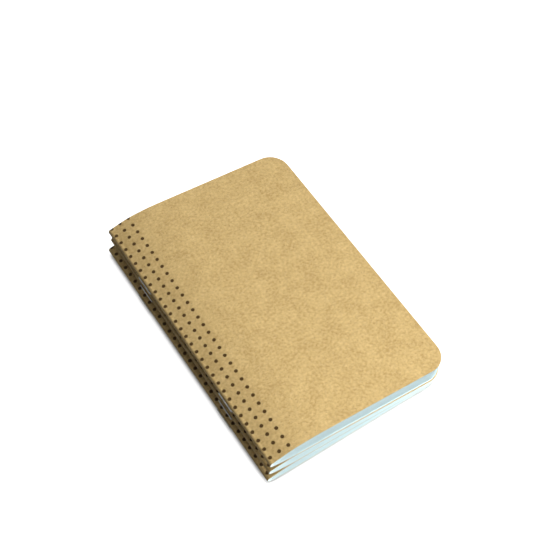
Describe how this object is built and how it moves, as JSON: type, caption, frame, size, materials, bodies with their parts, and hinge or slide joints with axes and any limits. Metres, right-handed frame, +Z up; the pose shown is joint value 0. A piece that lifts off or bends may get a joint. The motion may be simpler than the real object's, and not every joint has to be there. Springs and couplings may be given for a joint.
{
  "type": "pocket notebook set",
  "caption": "Stack of slim pocket notebooks with kraft card covers, folded sheets and wire staples; covers and leaves turn about the fold and the upper notebooks lift off.",
  "frame": {"origin": "middle of the stack's resting face: half of the page width out from the bottom notebook's fold and half-way up its height, on the face that lies on the table", "axes": "+X from the folds towards the fore-edges, +Y along the folds towards the head, +Z up through the stack"},
  "size_m": [0.096, 0.1408, 0.0205],
  "materials": {
    "kraft_card": "uncoated brown kraft card, matte, flecked",
    "paper": "uncoated writing paper, matte, pale cool white",
    "staple_wire": "bright drawn steel wire"
  },
  "bodies": {
    "bottom_notebook": {"bottom_back_cover": "kraft_card", "bottom_back_leaf_1": "paper", "bottom_back_leaf_2": "paper", "bottom_back_leaf_3": "paper", "bottom_back_leaf_4": "paper", "bottom_back_leaf_5": "paper", "bottom_back_leaf_6": "paper", "bottom_back_leaf_7": "paper", "bottom_back_leaf_8": "paper", "bottom_staples": "staple_wire"},
    "bottom_cover": {"bottom_front_cover": "kraft_card"},
    "bottom_page_1": {"bottom_front_leaf_1": "paper"},
    "bottom_page_2": {"bottom_front_leaf_2": "paper"},
    "bottom_page_3": {"bottom_front_leaf_3": "paper"},
    "bottom_page_4": {"bottom_front_leaf_4": "paper"},
    "bottom_page_5": {"bottom_front_leaf_5": "paper"},
    "bottom_page_6": {"bottom_front_leaf_6": "paper"},
    "bottom_page_7": {"bottom_front_leaf_7": "paper"},
    "bottom_page_8": {"bottom_front_leaf_8": "paper"},
    "middle_notebook": {"middle_back_cover": "kraft_card", "middle_back_leaf_1": "paper", "middle_back_leaf_2": "paper", "middle_back_leaf_3": "paper", "middle_back_leaf_4": "paper", "middle_back_leaf_5": "paper", "middle_back_leaf_6": "paper", "middle_back_leaf_7": "paper", "middle_back_leaf_8": "paper", "middle_staples": "staple_wire"},
    "middle_cover": {"middle_front_cover": "kraft_card"},
    "middle_page_1": {"middle_front_leaf_1": "paper"},
    "middle_page_2": {"middle_front_leaf_2": "paper"},
    "middle_page_3": {"middle_front_leaf_3": "paper"},
    "middle_page_4": {"middle_front_leaf_4": "paper"},
    "middle_page_5": {"middle_front_leaf_5": "paper"},
    "middle_page_6": {"middle_front_leaf_6": "paper"},
    "middle_page_7": {"middle_front_leaf_7": "paper"},
    "middle_page_8": {"middle_front_leaf_8": "paper"},
    "top_notebook": {"top_back_cover": "kraft_card", "top_back_leaf_1": "paper", "top_back_leaf_2": "paper", "top_back_leaf_3": "paper", "top_back_leaf_4": "paper", "top_back_leaf_5": "paper", "top_back_leaf_6": "paper", "top_back_leaf_7": "paper", "top_back_leaf_8": "paper", "top_staples": "staple_wire"},
    "top_cover": {"top_front_cover": "kraft_card"},
    "top_page_1": {"top_front_leaf_1": "paper"},
    "top_page_2": {"top_front_leaf_2": "paper"},
    "top_page_3": {"top_front_leaf_3": "paper"},
    "top_page_4": {"top_front_leaf_4": "paper"},
    "top_page_5": {"top_front_leaf_5": "paper"},
    "top_page_6": {"top_front_leaf_6": "paper"},
    "top_page_7": {"top_front_leaf_7": "paper"},
    "top_page_8": {"top_front_leaf_8": "paper"}
  },
  "joints": [
    {"name": "middle_lift", "type": "slide", "parent": "bottom_notebook", "child": "middle_notebook", "axis": [0, 0, 1], "range_m": [0, 0.3]},
    {"name": "top_lift", "type": "slide", "parent": "middle_notebook", "child": "top_notebook", "axis": [0, 0, 1], "range_m": [0, 0.3]},
    {"name": "bottom_cover_open", "type": "hinge", "parent": "bottom_notebook", "child": "bottom_cover", "pos_m": [-0.046, 0, 0.00334], "axis": [0, -1, 0], "range_deg": [0, 179]},
    {"name": "bottom_page_1_turn", "type": "hinge", "parent": "bottom_notebook", "child": "bottom_page_1", "pos_m": [-0.046, 0, 0.00334], "axis": [0, -1, 0], "range_deg": [0, 179]},
    {"name": "bottom_page_2_turn", "type": "hinge", "parent": "bottom_notebook", "child": "bottom_page_2", "pos_m": [-0.046, 0, 0.00334], "axis": [0, -1, 0], "range_deg": [0, 179]},
    {"name": "bottom_page_3_turn", "type": "hinge", "parent": "bottom_notebook", "child": "bottom_page_3", "pos_m": [-0.046, 0, 0.00334], "axis": [0, -1, 0], "range_deg": [0, 179]},
    {"name": "bottom_page_4_turn", "type": "hinge", "parent": "bottom_notebook", "child": "bottom_page_4", "pos_m": [-0.046, 0, 0.00334], "axis": [0, -1, 0], "range_deg": [0, 179]},
    {"name": "bottom_page_5_turn", "type": "hinge", "parent": "bottom_notebook", "child": "bottom_page_5", "pos_m": [-0.046, 0, 0.00334], "axis": [0, -1, 0], "range_deg": [0, 179]},
    {"name": "bottom_page_6_turn", "type": "hinge", "parent": "bottom_notebook", "child": "bottom_page_6", "pos_m": [-0.046, 0, 0.00334], "axis": [0, -1, 0], "range_deg": [0, 179]},
    {"name": "bottom_page_7_turn", "type": "hinge", "parent": "bottom_notebook", "child": "bottom_page_7", "pos_m": [-0.046, 0, 0.00334], "axis": [0, -1, 0], "range_deg": [0, 179]},
    {"name": "bottom_page_8_turn", "type": "hinge", "parent": "bottom_notebook", "child": "bottom_page_8", "pos_m": [-0.046, 0, 0.00334], "axis": [0, -1, 0], "range_deg": [0, 179]},
    {"name": "middle_cover_open", "type": "hinge", "parent": "middle_notebook", "child": "middle_cover", "pos_m": [-0.04444, 0.00015, 0.01], "axis": [-0.0087, -1, 0.0004], "range_deg": [0, 179]},
    {"name": "middle_page_1_turn", "type": "hinge", "parent": "middle_notebook", "child": "middle_page_1", "pos_m": [-0.04444, 0.00015, 0.01], "axis": [-0.0087, -1, 0.0004], "range_deg": [0, 179]},
    {"name": "middle_page_2_turn", "type": "hinge", "parent": "middle_notebook", "child": "middle_page_2", "pos_m": [-0.04444, 0.00015, 0.01], "axis": [-0.0087, -1, 0.0004], "range_deg": [0, 179]},
    {"name": "middle_page_3_turn", "type": "hinge", "parent": "middle_notebook", "child": "middle_page_3", "pos_m": [-0.04444, 0.00015, 0.01], "axis": [-0.0087, -1, 0.0004], "range_deg": [0, 179]},
    {"name": "middle_page_4_turn", "type": "hinge", "parent": "middle_notebook", "child": "middle_page_4", "pos_m": [-0.04444, 0.00015, 0.01], "axis": [-0.0087, -1, 0.0004], "range_deg": [0, 179]},
    {"name": "middle_page_5_turn", "type": "hinge", "parent": "middle_notebook", "child": "middle_page_5", "pos_m": [-0.04444, 0.00015, 0.01], "axis": [-0.0087, -1, 0.0004], "range_deg": [0, 179]},
    {"name": "middle_page_6_turn", "type": "hinge", "parent": "middle_notebook", "child": "middle_page_6", "pos_m": [-0.04444, 0.00015, 0.01], "axis": [-0.0087, -1, 0.0004], "range_deg": [0, 179]},
    {"name": "middle_page_7_turn", "type": "hinge", "parent": "middle_notebook", "child": "middle_page_7", "pos_m": [-0.04444, 0.00015, 0.01], "axis": [-0.0087, -1, 0.0004], "range_deg": [0, 179]},
    {"name": "middle_page_8_turn", "type": "hinge", "parent": "middle_notebook", "child": "middle_page_8", "pos_m": [-0.04444, 0.00015, 0.01], "axis": [-0.0087, -1, 0.0004], "range_deg": [0, 179]},
    {"name": "top_cover_open", "type": "hinge", "parent": "top_notebook", "child": "top_cover", "pos_m": [-0.04433, 0.0001, 0.01674], "axis": [-0.0026, -1, -0.0002], "range_deg": [0, 179]},
    {"name": "top_page_1_turn", "type": "hinge", "parent": "top_notebook", "child": "top_page_1", "pos_m": [-0.04433, 0.0001, 0.01674], "axis": [-0.0026, -1, -0.0002], "range_deg": [0, 179]},
    {"name": "top_page_2_turn", "type": "hinge", "parent": "top_notebook", "child": "top_page_2", "pos_m": [-0.04433, 0.0001, 0.01674], "axis": [-0.0026, -1, -0.0002], "range_deg": [0, 179]},
    {"name": "top_page_3_turn", "type": "hinge", "parent": "top_notebook", "child": "top_page_3", "pos_m": [-0.04433, 0.0001, 0.01674], "axis": [-0.0026, -1, -0.0002], "range_deg": [0, 179]},
    {"name": "top_page_4_turn", "type": "hinge", "parent": "top_notebook", "child": "top_page_4", "pos_m": [-0.04433, 0.0001, 0.01674], "axis": [-0.0026, -1, -0.0002], "range_deg": [0, 179]},
    {"name": "top_page_5_turn", "type": "hinge", "parent": "top_notebook", "child": "top_page_5", "pos_m": [-0.04433, 0.0001, 0.01674], "axis": [-0.0026, -1, -0.0002], "range_deg": [0, 179]},
    {"name": "top_page_6_turn", "type": "hinge", "parent": "top_notebook", "child": "top_page_6", "pos_m": [-0.04433, 0.0001, 0.01674], "axis": [-0.0026, -1, -0.0002], "range_deg": [0, 179]},
    {"name": "top_page_7_turn", "type": "hinge", "parent": "top_notebook", "child": "top_page_7", "pos_m": [-0.04433, 0.0001, 0.01674], "axis": [-0.0026, -1, -0.0002], "range_deg": [0, 179]},
    {"name": "top_page_8_turn", "type": "hinge", "parent": "top_notebook", "child": "top_page_8", "pos_m": [-0.04433, 0.0001, 0.01674], "axis": [-0.0026, -1, -0.0002], "range_deg": [0, 179]}
  ],
  "couplings": [
    {"joint": "bottom_cover_open", "follows": "middle_lift", "rad_per_m": 10.414},
    {"joint": "bottom_page_1_turn", "follows": "middle_lift", "rad_per_m": 9.4141},
    {"joint": "bottom_page_2_turn", "follows": "middle_lift", "rad_per_m": 9.539},
    {"joint": "bottom_page_3_turn", "follows": "middle_lift", "rad_per_m": 9.664},
    {"joint": "bottom_page_4_turn", "follows": "middle_lift", "rad_per_m": 9.789},
    {"joint": "bottom_page_5_turn", "follows": "middle_lift", "rad_per_m": 9.9139},
    {"joint": "bottom_page_6_turn", "follows": "middle_lift", "rad_per_m": 10.039},
    {"joint": "bottom_page_7_turn", "follows": "middle_lift", "rad_per_m": 10.164},
    {"joint": "bottom_page_8_turn", "follows": "middle_lift", "rad_per_m": 10.289},
    {"joint": "middle_cover_open", "follows": "top_lift", "rad_per_m": 10.414},
    {"joint": "middle_page_1_turn", "follows": "top_lift", "rad_per_m": 9.4141},
    {"joint": "middle_page_2_turn", "follows": "top_lift", "rad_per_m": 9.539},
    {"joint": "middle_page_3_turn", "follows": "top_lift", "rad_per_m": 9.664},
    {"joint": "middle_page_4_turn", "follows": "top_lift", "rad_per_m": 9.789},
    {"joint": "middle_page_5_turn", "follows": "top_lift", "rad_per_m": 9.9139},
    {"joint": "middle_page_6_turn", "follows": "top_lift", "rad_per_m": 10.039},
    {"joint": "middle_page_7_turn", "follows": "top_lift", "rad_per_m": 10.164},
    {"joint": "middle_page_8_turn", "follows": "top_lift", "rad_per_m": 10.289},
    {"joint": "top_page_1_turn", "follows": "top_cover_open", "ratio": 0.904},
    {"joint": "top_page_2_turn", "follows": "top_cover_open", "ratio": 0.916},
    {"joint": "top_page_3_turn", "follows": "top_cover_open", "ratio": 0.928},
    {"joint": "top_page_4_turn", "follows": "top_cover_open", "ratio": 0.94},
    {"joint": "top_page_5_turn", "follows": "top_cover_open", "ratio": 0.952},
    {"joint": "top_page_6_turn", "follows": "top_cover_open", "ratio": 0.964},
    {"joint": "top_page_7_turn", "follows": "top_cover_open", "ratio": 0.976},
    {"joint": "top_page_8_turn", "follows": "top_cover_open", "ratio": 0.988}
  ]
}
